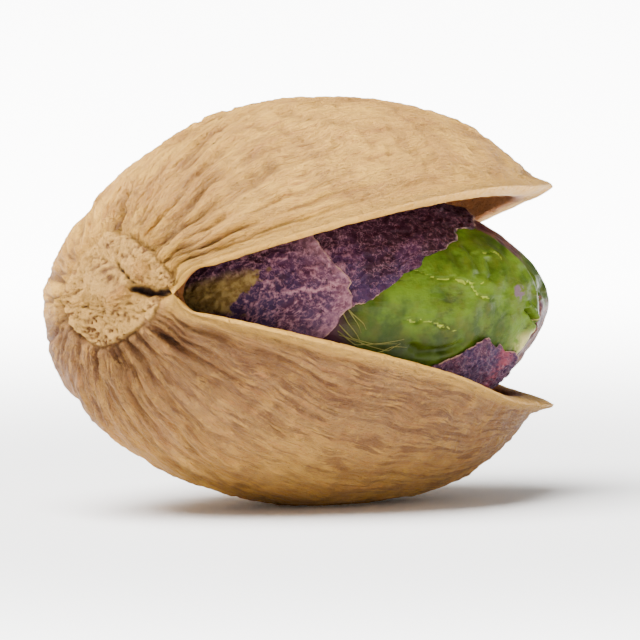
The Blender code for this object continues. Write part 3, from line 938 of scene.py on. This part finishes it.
def skinMaterial():
    colors = {
        "maroon": (0.016, 0.002, 0.005),
        "purple": (0.033, 0.007, 0.022),
        "violet": (0.026, 0.01, 0.034),
        "pink": (0.3, 0.13, 0.15),
        "rose": (0.16, 0.03, 0.045),
        "edge": (0.4, 0.22, 0.13),
        "dark": (0.008, 0.002, 0.003),
        "olive": (0.1, 0.055, 0.012),
        "oliveLight": (0.2, 0.125, 0.035),
        "fibre": (0.16, 0.14, 0.03),
    }
    material, tree, shader = newMaterial("skin")
    place = vectorOf(tree, "local")
    along, turn = valueOf(tree, "along"), valueOf(tree, "turn")
    clouds = noiseOf(tree, place, 0.7, 4, 0.6)
    grain = noiseOf(tree, place, 5.5, 4, 0.7)
    net = noiseOf(tree, vectorOf(tree, "local", (0.8, 1, 1)), 2.8, 5, 0.65)
    lines = mathOf(tree, "ABSOLUTE", mathOf(tree, "SUBTRACT", net, 0.5))
    color = mixOf(tree, rampOf(tree, clouds, 0.38, 0.6), colors["purple"], colors["violet"])
    # the upper side is darker and redder
    high = mathOf(tree, "ADD", turn, rampOf(tree, clouds, 0.3, 0.7, -0.25, 0.25))
    color = mixOf(tree, rampOf(tree, high, 0.2, 0.55, 0, 0.95), color, colors["maroon"])
    color = mixOf(tree, rampOf(tree, lines, 0.022, 0.0, 0, 0.4), color, colors["pink"])
    color = mixOf(tree, rampOf(tree, grain, 0.6, 0.78, 0, 0.4), color, colors["pink"])
    color = mixOf(tree, rampOf(tree, grain, 0.42, 0.3, 0, 0.7), color, colors["dark"])
    tops = mathOf(tree, "MULTIPLY", rampOf(tree, valueOf(tree, "net"), 0.3, 1.0), rampOf(tree, grain, 0.35, 0.6))
    tops = mathOf(tree, "MULTIPLY", tops, rampOf(tree, along, 0.5, 0.44, 0.1, 0.7))
    tops = mathOf(tree, "MULTIPLY", tops, rampOf(tree, turn, 0.7, 0.35, 0.1, 1.0))
    color = mixOf(tree, tops, color, colors["pink"])
    # a pale fold along the middle of the stem piece
    fold = mathOf(tree, "ADD", turn, rampOf(tree, clouds, 0.3, 0.7, -0.15, -0.03))
    fold = rampOf(tree, mathOf(tree, "ABSOLUTE", fold), 0.035, 0.0, 0, 0.8)
    fold = mathOf(tree, "MULTIPLY", fold, rampOf(tree, along, 0.33, 0.38))
    fold = mathOf(tree, "MULTIPLY", fold, rampOf(tree, along, 0.48, 0.45))
    color = mixOf(tree, mathOf(tree, "MULTIPLY", fold, rampOf(tree, grain, 0.35, 0.55)), color, colors["pink"])
    # pale towards the torn end of the stem piece
    pale = mathOf(tree, "MULTIPLY", valueOf(tree, "tipEdge"), rampOf(tree, along, 0.5, 0.47))
    color = mixOf(tree, mathOf(tree, "MULTIPLY", pale, rampOf(tree, grain, 0.3, 0.6, 0.15, 0.6)), color, colors["pink"])
    olive = mathOf(tree, "ADD", along, rampOf(tree, clouds, 0.3, 0.7, -0.06, 0.06))
    olive = mathOf(tree, "MULTIPLY", rampOf(tree, olive, 0.31, 0.29), rampOf(tree, turn, 0.4, 0.22))
    olive = mathOf(tree, "MULTIPLY", olive, rampOf(tree, turn, -0.16, -0.06))
    oliveTone = mixOf(tree, rampOf(tree, net, 0.42, 0.6), colors["olive"], colors["oliveLight"])
    color = mixOf(tree, olive, color, oliveTone)
    rose = mathOf(tree, "ADD", along, mathOf(tree, "MULTIPLY", turn, -0.06))
    rose = mathOf(tree, "MULTIPLY", rampOf(tree, rose, 0.755, 0.775), rampOf(tree, rose, 0.81, 0.785))
    rose = mathOf(tree, "MULTIPLY", rose, rampOf(tree, turn, -0.3, -0.5))
    color = mixOf(tree, mathOf(tree, "MULTIPLY", rose, rampOf(tree, net, 0.35, 0.6)), color, colors["rose"])
    rim = mathOf(tree, "MULTIPLY", rampOf(tree, valueOf(tree, "edge"), 0.35, 0.9, 0, 0.7), rampOf(tree, net, 0.38, 0.6))
    color = mixOf(tree, rim, color, colors["edge"])
    color = mixOf(tree, valueOf(tree, "fibre"), color, colors["fibre"])
    tree.links.new(color, shader.inputs["Base Color"])
    tree.links.new(rampOf(tree, grain, 0.3, 0.7, 0.6, 0.42), shader.inputs["Roughness"])
    shader.inputs["Specular IOR Level"].default_value = 0.12
    setBump(tree, shader, [(net, 0.6, 0.12), (grain, 0.7, 0.07)])
    return material


materials = {"shell": shellMaterial(), "kernel": kernelMaterial(), "skin": skinMaterial()}


def showPiece(name, mesh, slotName):
    mesh.materials.clear()
    mesh.materials.append(materials[slotName])
    piece = bpy.data.objects.new(name + "_look", mesh)
    bpy.context.scene.collection.objects.link(piece)
    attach(piece, "root")
    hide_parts(name)
    return piece


showPiece("shell", shellData, "shell")
showPiece("kernel", kernelData, "kernel")
for skinName, skinMeshData in skinData.items():
    showPiece(skinName, skinMeshData, "skin")
print("pieces placed")


# ---- stage

stage = {
    "floorSize": 3.0,
    "floorColor": (0.96, 0.955, 0.945),
    "glow": 9.0,  # the floor glows as painted light, and the glow fades out round the nut, leaving a painted shadow there
    "glowFrom": (0.018, 0.11),
    "skyColor": (1.0, 0.995, 0.985),
    "skyStrength": 0.4,
    "horizonStrength": 9.0,  # so that the floor's far edge doesn't show
    "horizonBand": (0.02, 0.06),
    "keyEnergy": 15.5,
    "keyPlace": (-0.22, -0.01, 0.5),
    "keySize": 0.42,
    "cameraAzimuth": -28.0,
    "cameraElevation": 5.0,
    "cameraDistance": 0.3,
    "cameraTarget": (-0.000475, 0.000177, 0.007238),
    "viewWidth": 0.02528,
}


def buildStage():
    bpy.ops.mesh.primitive_plane_add(size=stage["floorSize"])
    floor = bpy.context.object
    floor.name = "floor"
    material, tree, shader = newMaterial("floor")
    shader.inputs["Base Color"].default_value = (*stage["floorColor"], 1)
    shader.inputs["Roughness"].default_value = 0.7
    place = addNode(tree, "TexCoord").outputs["Object"]
    distance = addNode(tree, "VectorMath", {0: place}, operation="LENGTH").outputs["Value"]
    # painted light: the floor glows away from the nut and is left dark round it as a painted shadow
    glow = rampOf(tree, distance, *stage["glowFrom"], 0.0, stage["glow"])
    shader.inputs["Emission Color"].default_value = (*stage["skyColor"], 1)
    tree.links.new(glow, shader.inputs["Emission Strength"])
    floor.data.materials.append(material)
    world = bpy.data.worlds.new("studio")
    world.use_nodes = True
    sky = world.node_tree.nodes["Background"]
    sky.inputs["Color"].default_value = (*stage["skyColor"], 1)
    sky.inputs["Strength"].default_value = stage["skyStrength"]
    tree = world.node_tree
    view = addNode(tree, "TexCoord").outputs["Generated"]
    rise = addNode(tree, "SeparateXYZ", {0: view}).outputs[2]
    glow = rampOf(tree, rise, *stage["horizonBand"], stage["horizonStrength"], stage["skyStrength"])
    tree.links.new(glow, sky.inputs["Strength"])
    bpy.context.scene.world = world
    lamp = bpy.data.lights.new("key", "AREA")
    lamp.energy = stage["keyEnergy"]
    lamp.size = stage["keySize"]
    key = bpy.data.objects.new("key", lamp)
    key.location = stage["keyPlace"]
    key.rotation_euler = (Vector((0, 0, 0.007)) - key.location).to_track_quat("-Z", "Y").to_euler()
    bpy.context.scene.collection.objects.link(key)


def buildCamera():
    azimuth, elevation = radians(stage["cameraAzimuth"]), radians(stage["cameraElevation"])
    back = Vector((sin(azimuth) * cos(elevation), -cos(azimuth) * cos(elevation), sin(elevation)))
    lens = bpy.data.cameras.new("camera")
    lens.sensor_width = 36
    lens.lens = 36 * stage["cameraDistance"] / stage["viewWidth"]
    lens.clip_start = 0.01
    camera = bpy.data.objects.new("camera", lens)
    camera.location = Vector(stage["cameraTarget"]) + back * stage["cameraDistance"]
    camera.rotation_euler = back.to_track_quat("Z", "Y").to_euler()
    bpy.context.scene.collection.objects.link(camera)
    bpy.context.scene.camera = camera


buildStage()
buildCamera()
